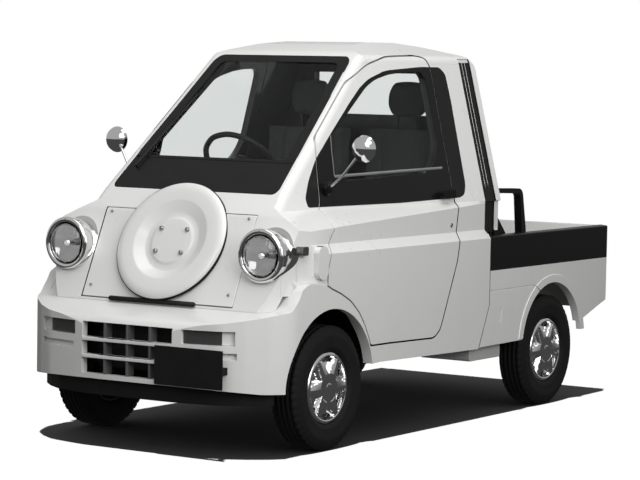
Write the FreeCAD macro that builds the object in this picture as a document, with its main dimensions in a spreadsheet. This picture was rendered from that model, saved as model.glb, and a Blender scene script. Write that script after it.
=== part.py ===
import FreeCAD, Part
import math
import os
import re
import Sketcher

# A two-seat kei pickup truck: hollow cab, ladder frame, load bed and running gear.
# Millimetres. +X is the truck's left, the front faces -Y, Z = 0 is the ground. Every Y in this file
# is measured from the front axle; the helpers add AXLE, which centres the truck on the origin.

SIZES = {
    "wheelbase": 1840, "front_overhang": 555, "rear_overhang": 525, "body_width": 1274,
    "roof_height": 1650, "track": 1090,
    # tyres and wheels
    "tyre_radius": 254, "tyre_width": 132, "rim_radius": 146, "rim_width": 100, "seat_gap": 0.3,
    # cab skin: the window plane is x = body_width / 2 + window_plane + taper * y - lean * z
    "window_plane": 88.6, "taper": 0.105, "lean": 0.25, "belt": 965, "ledge": 25,
    "crease_low": 800, "crease_high": 838, "shoulder": 900, "shoulder_rise": 0.044,
    "wall": 45, "pillar": 30, "sill": 333, "cab_back": 1235, "roof_edge": 1590,
    "pillar_round": 40, "nose_round": 220, "bumper_round": 150, "groove": 10, "back_bulge": 105,
    "roof_split": 1560, "arch_radius": 310, "arch_height": 268, "lid": 14, "lid_half": 380,
    "cowl_top": 1149, "skin": 30, "lamp_radius": 108, "cover_radius": 260, "door_gap": 7, "pane": 4,
    "glass": 8, "steering_radius": 178,
    # load bed
    "bed_front": 1238, "bed_floor": 600, "bed_top": 810, "band_bottom": 655, "bed_wall": 35,
    "tailgate_gap": 6, "gate_pivot": 580, "bed_plate": 18, "rear_arch_radius": 283,
    # chassis
    "rail_low": 330, "rail_high": 430, "rail_width": 55, "rail_offset": 270,
}
AXLE = "(front_overhang - rear_overhang - wheelbase) / 2"
SHIFT = (SIZES["front_overhang"] - SIZES["rear_overhang"] - SIZES["wheelbase"]) / 2
NEAR = 25
WINDOW = "body_width / 2 + window_plane + taper * ({y}) - lean * ({z})"
HALF = "body_width / 2"
REACH = "body_width / 2 + 63"
WHOLE = (f"-({REACH})", REACH)
CAB_IN = (f"wall - {HALF}", f"{HALF} - wall")
V = FreeCAD.Vector

doc = FreeCAD.newDocument("KeiTruck")
sheet = doc.addObject("Spreadsheet::Sheet", "Sizes")
for row, (name, value) in enumerate(SIZES.items(), start=1):
    sheet.set(f"A{row}", name)
    sheet.set(f"B{row}", str(value))
    sheet.setAlias(f"B{row}", name)
doc.recompute()
nodes = []


def bound(text):
    """Point each size's name in an expression at its cell."""
    return re.sub(r"[a-z_]+", lambda word: "Sizes." + word[0] if word[0] in SIZES else word[0], str(text))


def along(y):
    """A place along the truck, given from the front axle."""
    return f"{AXLE} + ({y})"


def place(item, **spots):
    """Bind a placement's x, y and z to the sizes."""
    for axis, text in spots.items():
        item.setExpression(f"Placement.Base.{axis}", bound(text))
    return item


def outline(body, plane, corners, offset=None):
    """A closed sketch through the corners, each one held by two bound dimensions."""
    sketch = body.newObject("Sketcher::SketchObject", body.Name + "_outline")
    origin = [item for item in body.Origin.OriginFeatures if item.Role == plane + "_Plane"]
    sketch.AttachmentSupport = [(origin[0], "")]
    sketch.MapMode = "FlatFace"
    if offset is not None:
        sketch.setExpression("AttachmentOffset.Base.z", bound(offset))
    turn = FreeCAD.Rotation(V(0, 0, 1), 360 / len(corners))
    spot = V(1, 0, 0)
    for _ in corners:
        sketch.addGeometry(Part.LineSegment(spot, turn.multVec(spot)))
        spot = turn.multVec(spot)
    for index in range(len(corners)):
        sketch.addConstraint(Sketcher.Constraint("Coincident", index, 2, (index + 1) % len(corners), 1))
    for index, corner in enumerate(corners):
        start = sketch.Geometry[index].StartPoint
        for kind, value, text in (("DistanceX", start.x, corner[0]), ("DistanceY", start.y, corner[1])):
            row = sketch.addConstraint(Sketcher.Constraint(kind, -1, 1, index, 1, value))
            sketch.setExpression(f"Constraints[{row}]", bound(text))
    doc.recompute()
    return sketch


def rounded(body, sketch, base, corners):
    """Fillet the edges that start at the corners whose third value is a radius."""
    frame = sketch.Placement
    radii = {}
    for index, corner in enumerate(corners):
        if len(corner) > 2:
            spot = frame.multVec(sketch.Geometry[index].StartPoint)
            radii.setdefault(corner[2], []).append(spot)
    normal = frame.Rotation.multVec(V(0, 0, 1))
    for radius, spots in radii.items():
        doc.recompute()
        names = []
        for number, edge in enumerate(base.Shape.Edges, start=1):
            ends = [vertex.Point for vertex in edge.Vertexes]
            if len(ends) == 2 and (ends[1] - ends[0]).cross(normal).Length < 1e-6:
                flat = [(ends[0] - spot) - normal * (ends[0] - spot).dot(normal) for spot in spots]
                if min(gap.Length for gap in flat) < 1e-4:
                    names.append(f"Edge{number}")
        soft = body.newObject("PartDesign::Fillet", body.Name + "_round")
        soft.Base = (base, names)
        soft.setExpression("Radius", bound(radius))
        base = soft
    return base


def prism(name, plane, corners, start, end):
    """An outline in the YZ, XZ or XY plane, carried from start to end along the third axis."""
    if plane == "YZ":
        corners = [(along(corner[0]),) + tuple(corner[1:]) for corner in corners]
    if plane == "XY":
        corners = [(corner[0], along(corner[1])) + tuple(corner[2:]) for corner in corners]
    body = doc.addObject("PartDesign::Body", name)
    sketch = outline(body, plane, corners)
    pad = body.newObject("PartDesign::Pad", name + "_pad")
    pad.Profile = sketch
    pad.Reversed = plane == "XZ"
    pad.setExpression("Length", bound(f"({end}) - ({start})"))
    rounded(body, sketch, pad, corners)
    spot = along(start) if plane == "XZ" else start
    return place(body, **{{"YZ": "x", "XZ": "y", "XY": "z"}[plane]: spot})


def loft(name, sections):
    """Straight sides between two XZ outlines; each section is (y, corners)."""
    body = doc.addObject("PartDesign::Body", name)
    sketches = [outline(body, "XZ", corners, f"-({along(y)})") for y, corners in sections]
    skin = body.newObject("PartDesign::AdditiveLoft", name + "_loft")
    skin.Profile = sketches[0]
    skin.Sections = sketches[1:]
    skin.Ruled = True
    return body


def lathe(name, corners, x, y, z, turn=None):
    """A (radius, height) outline turned about its height axis, which turn points elsewhere."""
    body = doc.addObject("PartDesign::Body", name)
    sketch = outline(body, "XZ", corners)
    spin = body.newObject("PartDesign::Revolution", name + "_turn")
    spin.Profile = sketch
    spin.ReferenceAxis = (sketch, ["V_Axis"])
    spin.Angle = 360
    if turn:
        body.Placement = FreeCAD.Placement(V(0, 0, 0), FreeCAD.Rotation(V(*turn[0]), turn[1]))
    return place(body, x=x, y=along(y), z=z)


def vented(body, corners, count):
    """Cut an outline through a turned body and repeat it round its axis."""
    sketch = outline(body, "XY", corners)
    pocket = body.newObject("PartDesign::Pocket", body.Name + "_vent")
    pocket.Profile = sketch
    pocket.Type = "ThroughAll"
    pocket.Midplane = True
    pattern = body.newObject("PartDesign::PolarPattern", body.Name + "_vents")
    pattern.Originals = [pocket]
    pattern.Axis = (sketch, ["N_Axis"])
    pattern.Angle = 360
    pattern.Occurrences = count
    body.Tip = pattern
    return body


def box(name, x, y, z):
    """A block between pairs of places on the three axes."""
    item = doc.addObject("Part::Box", name)
    for size, (low, high) in zip(("Length", "Width", "Height"), (x, y, z)):
        item.setExpression(size, bound(f"({high}) - ({low})"))
    return place(item, x=x[0], y=along(y[0]), z=z[0])


def rod(name, radius, x, y, z, length, axis="Z"):
    """A round bar that starts at a place and runs along an axis."""
    item = doc.addObject("Part::Cylinder", name)
    item.setExpression("Radius", bound(radius))
    item.setExpression("Height", bound(length))
    turn = {"X": FreeCAD.Rotation(V(0, 1, 0), 90), "Y": FreeCAD.Rotation(V(1, 0, 0), -90)}
    if axis in turn:
        item.Placement = FreeCAD.Placement(V(0, 0, 0), turn[axis])
    return place(item, x=x, y=along(y), z=z)


def stick(name, radius, *points):
    """A bent round bar through points, with a ball at each bend."""
    spots = [V(x, y + SHIFT, z) for x, y, z in points]
    shape = Part.makeSphere(radius, spots[0])
    for start, end in zip(spots, spots[1:]):
        run = Part.makeCylinder(radius, (end - start).Length, start, end - start)
        shape = shape.fuse([run, Part.makeSphere(radius, end)])
    item = doc.addObject("Part::Feature", name)
    item.Shape = shape.removeSplitter()
    return item


def fuse(name, *items):
    item = doc.addObject("Part::MultiFuse", name)
    item.Shapes = list(items)
    item.Refine = True
    return item


def common(name, *items):
    result = items[0]
    for number, other in enumerate(items[1:], start=1):
        step = doc.addObject("Part::Common", f"{name}_{number}")
        step.Base = result
        step.Tool = other
        result = step
    return result


def cut(name, base, *tools):
    item = doc.addObject("Part::Cut", name)
    item.Base = base
    item.Tool = tools[0] if len(tools) == 1 else fuse(name + "_tools", *tools)
    item.Refine = True
    return item


def mirrored(name, source):
    item = doc.addObject("Part::Mirroring", name)
    item.Source = source
    item.Normal = V(1, 0, 0)
    return item


def group(name, *items):
    """Several solids that don't touch, kept in one node."""
    item = doc.addObject("Part::Compound", name)
    item.Links = list(items)
    return item


def soften(name, base, radius, middles):
    """Fillet the edges, on both sides of the truck, whose middles lie near the given places."""
    doc.recompute()
    item = doc.addObject("Part::Fillet", name)
    item.Base = base
    edges = []
    for number, edge in enumerate(base.Shape.Edges, start=1):
        spot = edge.valueAt((edge.FirstParameter + edge.LastParameter) / 2)
        here = V(abs(spot.x), spot.y - SHIFT, spot.z)
        if min((here - V(*middle)).Length for middle in middles) < NEAR:
            edges.append((number, SIZES[radius], SIZES[radius]))
    item.Edges = edges
    return item


def node(name, item):
    item.Label = name
    nodes.append((name, item))
    return item


# ---- Cab outlines, (y, z) ----
# The nose rises to the cowl and the flat windscreen leans back to the roof.
NOSE = [(-368, 583), (-200, 947)]
SCREEN = [(-124, 1027), (552, 1602)]
PROFILE = [
    (-370, 300), NOSE[0], (*NOSE[1], 120), SCREEN[0], (*SCREEN[1], 150), (700, 1638, 400),
    (860, "roof_height", 400), (1060, "roof_height", 400), (1180, 1636, 200), ("cab_back + 65", 1598, 60),
    ("cab_back + back_bulge", 1550, 40), ("cab_back + back_bulge", 832, 12), ("cab_back", 832),
    ("cab_back", 505), ("cab_back - 90", "sill - 16"), (330, "sill")]
CAVITY = [
    (-318, 250), (-318, 583), (-150, 947), (-74, 1027), (590, 1592), (700, "roof_height - 40"),
    (1130, "roof_height - 40"), ("cab_back + back_bulge - wall", 1550),
    ("cab_back + back_bulge - wall", 877), ("cab_back - wall", 877), ("cab_back - wall", 250)]
DOORWAY = [
    (-75, 735), (-75, 671), (-36, 653), (20, 634), (95, 600), (160, 550), (208, 492), (240, 435),
    (255, 403), (407, 402), (649, 396), (765, 394), (818, 428), (876, 550), (954, 718), (976, 825),
    (1003, 977), (1008, 1281), (1011, 1544), (985, 1590), (930, 1599), (710, 1592), (565, 1557),
    (405, 1478), (248, 1350), (127, 1243), (104, 1110), (83, 970), (-33, 855)]
GARNISH = [
    (8, 974), (0, 1010), (38, 1077), (108, 1163), (243, 1271), (407, 1398), (492, 1459), (557, 1493),
    (685, 1530), (935, 1547), (1070, 1547), (1108, 1520), (1112, 1400), (1100, 1040), (1080, 996),
    (1041, 984), (613, 974)]
WINDOW_HOLE = [
    (215, 1072), (955, 1098), (955, 1525), (800, 1522), (700, 1512), (600, 1490), (530, 1458),
    (372, 1348), (243, 1262)]
BUMPER = [
    ("-front_overhang", 283), ("-front_overhang", 528, 60), (-372, 575), (-320, 582, 40), (-273, 632),
    (-250, 668, 40), (-208, 688, 80), (-140, 684, 160), (-72, 669), (-36, 653), (20, 634),
    (95, 600, 160), (160, 550, 160), (208, 492, 160), (240, 435), (255, 403, 40), (262, 330), (262, 270),
    (-325, 262), (-420, 264)]
CORNER_RADII = (15, 40, 80, 160, 320)
LEAST_TURN = 0.08


def sides_at(corners, index):
    """The two sides that meet at a corner, as vectors along the outline."""
    count = len(corners)
    here, before, after = (V(*corners[at % count][:2], 0) for at in (index, index - 1, index + 1))
    return here - before, after - here


def eased(corners):
    """Each corner with the largest of the shop's radii that its two sides have room for."""
    soft = []
    for index, corner in enumerate(corners):
        before, after = sides_at(corners, index)
        turn = before.getAngle(after)
        room = 0.45 * min(before.Length, after.Length) / math.tan(max(turn, 0.001) / 2)
        fitting = [radius for radius in CORNER_RADII if radius <= room]
        soft.append((*corner, fitting[-1]) if fitting and turn > LEAST_TURN else corner)
    return soft


def inset(corners, gap):
    """The outline moved inward by a named gap; it runs anticlockwise."""
    moved = []
    for index, (y, z, *radius) in enumerate(corners):
        normals = [V(-side.y, side.x, 0).normalize() for side in sides_at(corners, index)]
        share = 1 / (1 + normals[0].dot(normals[1]))
        push = (normals[0] + normals[1]) * share
        moved.append((f"{y} + ({push.x:.5f}) * {gap}", f"{z} + ({push.y:.5f}) * {gap}", *radius))
    return moved


DOOR_LINE = DOORWAY[:2] + eased(DOORWAY)[2:]
WINDOW_LINE = eased(WINDOW_HOLE)


def section(y, side, thin, low, high):
    """Half of the cab's cross-section at y, mirrored to a closed ring."""
    edge = WINDOW.format(y=y, z="roof_edge")
    half = [
        (f"body_width / 2 - {side}", low),
        (f"body_width / 2 - {side}", "crease_low"),
        (f"body_width / 2 - ledge - {side}", "crease_high"),
        (f"body_width / 2 - ledge - {side}", f"shoulder + shoulder_rise * {y} - {thin} / 2"),
        (WINDOW.format(y=y, z="belt") + f" - {thin}", f"belt - {thin} / 4"),
        (f"{edge} - {thin}", f"roof_edge - {thin} / 2"),
        (f"({edge}) * 0.5", high)]
    return half + [(f"-({x})", z) for x, z in reversed(half)]


def cab_solid(name, profile, side, thin, low, high):
    """The cross-section run from nose to back, trimmed by the side profile."""
    ends = [(y, section(y, side, thin, low, high)) for y in ("(cab_back + back_bulge + 5)", "-450")]
    return common(name, loft(name + "_run", ends), prism(name + "_side", "YZ", profile, *WHOLE))


def strip(name, line, depth, low, high):
    """A slab just inside a sloping line of the side profile, between two heights."""
    (y0, z0), (y1, z1) = line
    slope = (y1 - y0) / (z1 - z0)
    foot = f"{y0} + {slope} * ({low} - {z0})"
    head = f"{y0} + {slope} * ({high} - {z0})"
    corners = [(foot, low), (head, high), (f"{head} + {depth}", high), (f"{foot} + {depth}", low)]
    return prism(name, "YZ", corners, *WHOLE)


def lowered(corners, drop):
    """The outline with its top moved down and its underside carried below the bumper."""
    return [(y, f"{z} - {drop}" if z not in (262, 264, 270, 283) else 200, *turn)
            for y, z, *turn in corners]


# ---- Cab shell ----
sharp = cab_solid("cab_outer", PROFILE, 0, 0, 280, "roof_height")
SIDE = SIZES["body_width"] / 2
PILLAR_MIDS = [(SIDE - 216, 207, 1308), (SIDE - 177, -153, 996), (SIDE - 221, 938, 1590)]
NOSE_PLAN = [(f"{HALF} - 217", -420), (f"{HALF} - 77", -330, "nose_round"), (HALF, -90, "nose_round"),
             (HALF, 1500)]
nose_ring = NOSE_PLAN + [(f"-({x})", y, *turn) for x, y, *turn in reversed(NOSE_PLAN)]
outer = common("outer", soften("outer_pillars", sharp, "pillar_round", PILLAR_MIDS),
               prism("nose_plan", "XY", nose_ring, 250, 1700))
inner = cab_solid("cab_inner", CAVITY, "wall", "pillar", 200, "roof_height - pillar")
bumper_zone = prism("bumper_zone", "YZ", BUMPER, *WHOLE)
bumper_clear = prism("bumper_clear", "YZ", lowered(BUMPER, "(0 - seat_gap * 2)"), *WHOLE)
arches = rod("front_arches", "arch_radius", WHOLE[0], -30, "arch_height", f"2 * ({REACH})", "X")
SCREEN_FRONT = [(f"219 - {HALF}", 1027, 25), (f"{HALF} - 219", 1027, 25), (f"{HALF} - 290", 1587, 45),
                (f"290 - {HALF}", 1587, 45)]
screen_gap = prism("screen_gap", "XZ", SCREEN_FRONT, -300, 600)
rear_gap = box("rear_gap", (-345, 345), (1150, 1400), (1327, 1515))
lid_strip = strip("lid_strip", NOSE, "lid", 560, 960)
lid_pocket = common("lid_pocket", lid_strip,
                    box("lid_opening", ("-lid_half", "lid_half"), (-600, 200), (587, 949)))
shell = cut("shell", outer, inner, bumper_clear, arches, screen_gap, rear_gap, lid_pocket)

WEDGE = [(f"{HALF} - 104", 200), (REACH, 200), (REACH, 1700), (f"{HALF} - 282", 1700)]
OUTER_HALF = (300, REACH)
doorway = common("doorway", prism("doorway_side", "YZ", DOOR_LINE, *OUTER_HALF),
                 prism("doorway_front", "XZ", WEDGE, -300, 1300))
door_wedge = [(x if x == REACH else f"{x} + door_gap", z) for x, z in WEDGE]
door_zone = common("door_zone", prism("door_side", "YZ", inset(DOOR_LINE, "door_gap"), *OUTER_HALF),
                   prism("door_front", "XZ", door_wedge, -300, 1300))


def pane_section(y):
    """The window plane's outer 4 mm at y, from the belt to the roof edge."""
    low, high = (WINDOW.format(y=y, z=z) for z in ("(belt + 1)", "(roof_edge - 5)"))
    return [(low, "belt + 1"), (high, "roof_edge - 5"), (f"{high} - pane", "roof_edge - 5"),
            (f"{low} - pane", "belt + 1")]


pane = common("pane", loft("pane_run", [(y, pane_section(y)) for y in ("cab_back", "-60")]),
              prism("garnish", "YZ", eased(GARNISH), *OUTER_HALF))
hole = prism("window_hole", "YZ", WINDOW_LINE, *OUTER_HALF)
door = cut("door_skin", common("door_part", shell, door_zone), pane, hole)
node("door_left", door)
node("door_right", mirrored("door_right_skin", door))
handle = cut("handle", prism("handle_bar", "YZ", [
    (885, 985, 8), (990, 985, 8), (990, 1020, 8), (885, 1014, 8)], f"{HALF} - 77", f"{HALF} - 37"), outer)
surround = fuse("surround", cut("surround_ring", common("door_pane", pane, door_zone), hole), handle)


def glass_section(y):
    """The side glass at y, set back from the window plane."""
    low, high = (WINDOW.format(y=y, z=z) for z in ("(belt + 1)", "(roof_edge - 5)"))
    return [(f"{low} - 7", "belt + 1"), (f"{high} - 7", "roof_edge - 5"),
            (f"{high} - 11", "roof_edge - 5"), (f"{low} - 11", "belt + 1")]


side_glass = common("side_glass", loft("glass_run", [(y, glass_section(y)) for y in ("cab_back", "-60")]),
                    prism("glass_edge", "YZ", inset(WINDOW_LINE, "seat_gap"), *OUTER_HALF))
node("door_glass_left", side_glass)
node("door_glass_right", mirrored("door_glass_mirror", side_glass))

both_doorways = fuse("both_doorways", doorway, mirrored("doorway_mirror", doorway))
trim = cut("trim_side", pane, doorway)
trims = group("trims", trim, mirrored("trim_mirror", trim))
node("window_trim", trims)
both_panes = fuse("both_panes", pane, mirrored("pane_mirror", pane))


def groove_section(y):
    """A shallow slab under the window plane at y, from below the belt to the roof edge."""
    low, high = (WINDOW.format(y=y, z=z) for z in ("(belt + 1)", "(roof_edge - 5)"))
    return [(f"{low} + 20", "belt + 1"), (f"{high} + 20", "roof_edge - 5"),
            (f"{high} - groove", "roof_edge - 5"), (f"{low} - groove", "belt + 1")]


groove_low = box("groove_low", (f"{HALF} - ledge - groove", REACH),
                 ("cab_back - 13", "cab_back + back_bulge - 35"), (820, "belt + 1"))
groove = fuse("groove", groove_low, loft("rear_groove", [
    (y, groove_section(y)) for y in ("(cab_back + back_bulge - 35)", "(cab_back - 13)")]))
both_grooves = fuse("both_grooves", groove, mirrored("groove_mirror", groove))
frame_shell = cut("frame_shell", shell, both_doorways, both_panes, both_grooves)

roof_box = box("roof_box", WHOLE, (-700, 1400), ("roof_split", 1800))
node("cab_roof", common("roof", frame_shell, roof_box))
back_box = box("back_box", (-420, 420), ("cab_back - wall - 1", "cab_back + back_bulge + 1"),
               ("rail_high + 1", "roof_split"))
node("cab_back", common("back", frame_shell, back_box))
FRONT_PART = [(-450, 540), (60, 540), (60, 930), (620, 1500), (620, "roof_split"), (-450, "roof_split")]
nose_panel = common("nose", frame_shell, prism("front_part", "YZ", FRONT_PART, *WHOLE))
REAR_PART = [(230, 250), (1400, 250), (1400, "roof_split"), (700, "roof_split"), (700, 470), (230, 470)]
behind = box("behind", (-1, 420), (1100, 1400), (200, "roof_split"))
rear_part = cut("rear_zone", prism("rear_part", "YZ", REAR_PART, 0, REACH), behind)
side = common("quarter", frame_shell, rear_part)
node("cab_sides", group("quarters", side, mirrored("quarter_mirror", side)))
HINGE_AT = (f"{HALF} - 4", "-75 + door_gap / 2")
hinge = rod("door_hinge_pin", "door_gap / 2 - seat_gap", *HINGE_AT, 688, 40)
node("door_hinges", group("hinge_pins", hinge, mirrored("hinge_pin_mirror", hinge)))

# ---- Glass, cowl and lid ----
screen_slab = strip("screen_slab", SCREEN, "glass", 1000, 1600)
screen_plate = common("screen_plate", screen_slab, screen_gap, outer)
cowl_box = box("cowl_box", WHOLE, (-400, 700), (1000, "cowl_top"))
wiper = stick("wiper", 5, (-357, -22, 1104), (-357, -34, 1118), (-340, 60, 1196), (-300, 309, 1406))
node("cowl_panel", fuse("cowl", common("cowl_plate", screen_plate, cowl_box), wiper))
screen = cut("screen", screen_plate, cowl_box)
REAR_WALL = "cab_back + back_bulge - wall"
rear_pane = box("rear_pane", (-345, 345), (f"{REAR_WALL} + 15", f"{REAR_WALL} + 21"), (1327, 1515))
node("cab_glass", group("cab_panes", screen, rear_pane))
lid = common("lid_plate", lid_strip, outer,
             box("lid_size", ("3 - lid_half", "lid_half - 3"), (-600, 200), (590, 946)))
node("front_lid", lid)

# ---- Front bumper, grille and lamps ----
PLAN = [
    (0, "-front_overhang"), (224, "2 - front_overhang"), (300, "14 - front_overhang"),
    (f"{HALF} - 212", -514, "bumper_round"), (f"{HALF} - 127", -462, "bumper_round"),
    (f"{HALF} - 47", -392, "bumper_round"), (HALF, -318, "bumper_round"), (HALF, 300)]


def plan(name, push, low, high):
    """The bumper's plan outline, moved in by push, as an upright solid."""
    half = [(f"{x} - {push}" if x else 0, f"{y} + {push}", *turn) for x, y, *turn in PLAN[:-1]]
    half.append((f"body_width / 2 - {push}", 300))
    ring = half + [(f"-({x})", y, *turn) for x, y, *turn in reversed(half) if x]
    return prism(name, "XY", ring, low, high)


bumper_skin = common("bumper_skin", bumper_zone, plan("bumper_plan", 0, 255, 700))
bumper_core = common("bumper_core", prism("bumper_low", "YZ", lowered(BUMPER, "skin"), *WHOLE),
                     plan("bumper_inside", "skin", 180, 700))
grille_hole = box("grille_hole", (-224, 224), (-600, -450), (302, 510))
lamp_hole = box("lamp_hole", (264, 478), (-600, -380), (453, 509))
slot_hole = box("slot_hole", (272, 484), (-600, -380), (398, 424))
slot_cut = cut("slot_cut", slot_hole, plan("slot_floor", 12, 380, 440))
left_holes = fuse("left_holes", lamp_hole, slot_cut)
nose_bay = fuse("nose_bay", box("bay_front", (-458, 458), (-345, -290), (500, 720)),
                box("bay_rear", CAB_IN, (-300, 345), (200, 720)))
bumper = cut("bumper", bumper_skin, bumper_core, arches, grille_hole, left_holes,
             mirrored("right_holes", left_holes), nose_bay)
node("front_bumper", bumper)

grille_bars = [box(f"upright_{n}", (x - 5, x + 5), ("4 - front_overhang", -505), (302, 510))
               for n, x in enumerate((-112, 0, 112))]
grille_bars += [box(f"rung_{n}", (-224, 224), ("1 - front_overhang", -510), (z - 7, z + 7))
                for n, z in enumerate((371, 440))]
node("grille", fuse("grille_bars", *grille_bars))
valance = cut("valance_wall", plan("valance_outside", "skin + seat_gap", 214, 300),
              plan("valance_inside", "skin * 2", 180, 320),
              box("valance_rear", WHOLE, (-345, 400), (150, 320)), bumper_skin)
node("front_valance", valance)
lens = common("lens", plan("lens_outside", 12, 440, 520),
              box("lens_size", (264.3, 477.7), (-600, "-380"), (453.3, 508.7)))
lens = cut("lens_shell", lens, plan("lens_inside", 40, 400, 600))

LAMP = {"x": 487, "y": -318, "z": 798}
POD = [(0, -190), (60, -190), (84, -120), (103, -30), ("lamp_radius - 4", -2), ("lamp_radius - 4", 6),
       (92, 6), (92, -10), (0, -30)]
RING = [(86, 6.3), ("lamp_radius", 6.3), ("lamp_radius", 16), (98, 22), (86, 18)]
LENS = [(0, -6), (85.7, 6), (85.7, 16), (70, 27), (40, 35), (0, 38)]
FORWARD = ((1, 0, 0), 90)
pods = lathe("pod_turn", POD, LAMP["x"], LAMP["y"], LAMP["z"], FORWARD)
pod = cut("pod", pods, outer)
hinge_block = prism("hinge_cover_block", "YZ", [
    (-150, 700, 34), (-80, 700, 34), (-80, 834, 34), (-150, 834, 34)], f"{HALF} - 37", f"{HALF} + 7")
hinge_cover = cut("hinge_cover", hinge_block, inner)
nose_side = fuse("nose_side", pod, hinge_cover)
node("cab_nose", fuse("nose_and_pods", nose_panel, nose_side, mirrored("nose_side_mirror", nose_side)))
ring = lathe("ring_turn", RING, LAMP["x"], LAMP["y"], LAMP["z"], FORWARD)
node("headlamp_rings", group("ring_pair", ring, mirrored("ring_mirror", ring)))
glass_bowl = lathe("lens_turn", LENS, LAMP["x"], LAMP["y"], LAMP["z"], FORWARD)
node("headlamp_lenses", group("lens_pair", glass_bowl, mirrored("lens_turn_mirror", glass_bowl)))

COVER = [(0, -150), (236, -150), (236, -30), ("cover_radius - 2", -16), ("cover_radius", -6),
         (222, 5), (172, 2), (116, -42), (0, -46)]
cover = lathe("cover_turn", COVER, 0, -272, 836, ((1, 0, 0), 62))
cover = cut("cover", cover, outer)
node("spare_cover", cover)

# ---- Cab floor and fittings ----
FOOT = 350
BENCH = (f"77 - {HALF}", f"{HALF} - 77")
floor_parts = [
    box("floor_rear", CAB_IN, (330, "cab_back - wall"), ("rail_high", "rail_high + 18")),
    box("floor_front", (-FOOT, FOOT), (-318, 330), ("rail_high", "rail_high + 18")),
    box("toe_board", (-FOOT, FOOT), (-318, -300), ("rail_high", 600)),
    box("arch_top", CAB_IN, (-250, 345), (680, 695)),
    box("arch_rear", CAB_IN, (330, 345), ("rail_high", 695)),
    box("arch_left", (FOOT - 15, FOOT), (-318, 345), ("rail_high", 690)),
    box("arch_right", (-FOOT, 15 - FOOT), (-318, 345), ("rail_high", 690)),
    box("riser", BENCH, (560, "cab_back - wall"), ("rail_high + 10", 600))]
foot_gap = box("foot_gap", (15 - FOOT, FOOT - 15), (-300, 400), ("rail_high + 18", 800))
pan = cut("pan", fuse("pan_parts", *floor_parts), foot_gap)
node("cab_floor", common("pan_in_cab", pan, inner))
WHEEL_AT = (-170, 478, 1108, ((1, 0, 0), -50))
DASH = [(-150, 1036), (-5, 1118), (330, 1118, 20), (372, 1080, 20), (372, 965, 20), (250, 880),
        (-90, 880)]
dash = common("dash", prism("dash_block", "YZ", DASH, f"242 - {HALF}", f"{HALF} - 242"), inner)
COLUMN = [(0, -14.3), (30, -14.3), (30, -60), (20, -90), (20, -400), (0, -400)]
column = lathe("column", COLUMN, *WHEEL_AT)
node("dashboard", fuse("dash_and_column", dash, column))
grip_ring = [V(13, 0, 0)]
for _ in range(5):
    grip_ring.append(FreeCAD.Rotation(V(0, 0, 1), 60).multVec(grip_ring[-1]))
rim = lathe("wheel_rim", [(f"steering_radius + {spot.x:.3f}", f"{spot.y:.3f}") for spot in grip_ring],
            *WHEEL_AT)
boss = lathe("wheel_boss", [(0, -14), (45, -14), (52, 0), (40, 22), (0, 26)], *WHEEL_AT)
spokes = lathe("wheel_plate", [(40, -6), ("steering_radius", -6), ("steering_radius", 6), (40, 6)],
               *WHEEL_AT)
spoke_band = box("spoke_band", (-400, 60), (380, 560), (1070, 1118))
node("steering_wheel", fuse("steering", rim, boss, common("spoke", spokes, spoke_band)))


def seat(name, x0, x1, back, lean):
    """A cushion, a leaning back and a headrest, clear of one another."""
    cushion = prism(name + "_cushion", "YZ", [
        (back - 460, 600.3), (back, 600.3), (back, 702, 25), (back - 440, 712, 30),
        (back - 475, 690, 30)], x0, x1)
    squab = prism(name + "_squab", "YZ", [
        (back + 4, 600.3), (back + 95, 600.3, 20), (back + 95 + lean, 1290, 30),
        (back + 20 + lean, 1290, 30), (back + 4, 800)], x0, x1)
    middle = (x0 + x1) / 2
    rest = prism(name + "_rest", "YZ", [
        (back + 28 + lean, 1318, 15), (back + 92 + lean, 1318, 15), (back + 96 + lean, 1485, 25),
        (back + 40 + lean, 1485, 25)], middle - 98, middle + 98)
    posts = [rod(f"{name}_post_{n}", 6, middle + x, back + 60 + lean, 1240, 130)
             for n, x in enumerate((-50, 50))]
    return cushion, fuse(name + "_upright", squab, rest, *posts)


driver_cushion, driver_back = seat("driver", -410, 20, 940, 40)
passenger_cushion, passenger_back = seat("passenger", 75, 475, 1000, 45)
node("seats", group("seat_parts", driver_cushion, passenger_cushion, driver_back, passenger_back))

# ---- Load bed ----
TAIL = "(wheelbase + rear_overhang)"
BED = [
    ("bed_front + 2", "band_bottom"), ("bed_front + 2", 507), ("bed_front - 84", 322),
    ("wheelbase - 295", 325),
    ("wheelbase + 262", 370), ("wheelbase + 437", 426), (f"{TAIL} - 2", 452), (TAIL, 480),
    (TAIL, "band_bottom")]
bed_skin = prism("bed_skin", "YZ", BED, "body_width / 2 - bed_wall", "body_width / 2")
rear_arch = rod("rear_arch", "rear_arch_radius", f"{HALF} - 137", "wheelbase - 15", 285, 200, "X")
arch_lip = common("arch_lip", rod("arch_lip_disc", "rear_arch_radius + 36", "body_width / 2 - 20",
                                  "wheelbase - 15", 285, 24, "X"),
                  box("arch_lip_zone", (f"{HALF} - 37", REACH), ("wheelbase - 340", "wheelbase + 410"),
                      (330, "band_bottom - 4")))
seam = prism("panel_seam", "YZ", [
    (1236, 564), ("wheelbase - 190", 564), ("wheelbase - 128", 528), ("wheelbase - 128", 534),
    ("wheelbase - 188", 568), (1236, 568)], f"{HALF} - 4", REACH)
side_slot = prism("side_slot", "YZ", [(1330, 422, 3), (1340, 422, 3), (1354, 484, 3), (1344, 484, 3)],
                  f"{HALF} - 12", REACH)
panel = cut("bed_panel", fuse("panel_and_lip", bed_skin, arch_lip), rear_arch, seam, side_slot,
            box("panel_hook", (f"{HALF} - 77", f"{HALF} - 25"), (1100, 1260), (300, 520)))
node("bed_panels", group("panel_pair", panel, mirrored("bed_panel_mirror", panel)))
BED_IN = "body_width / 2 - bed_wall"
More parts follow.
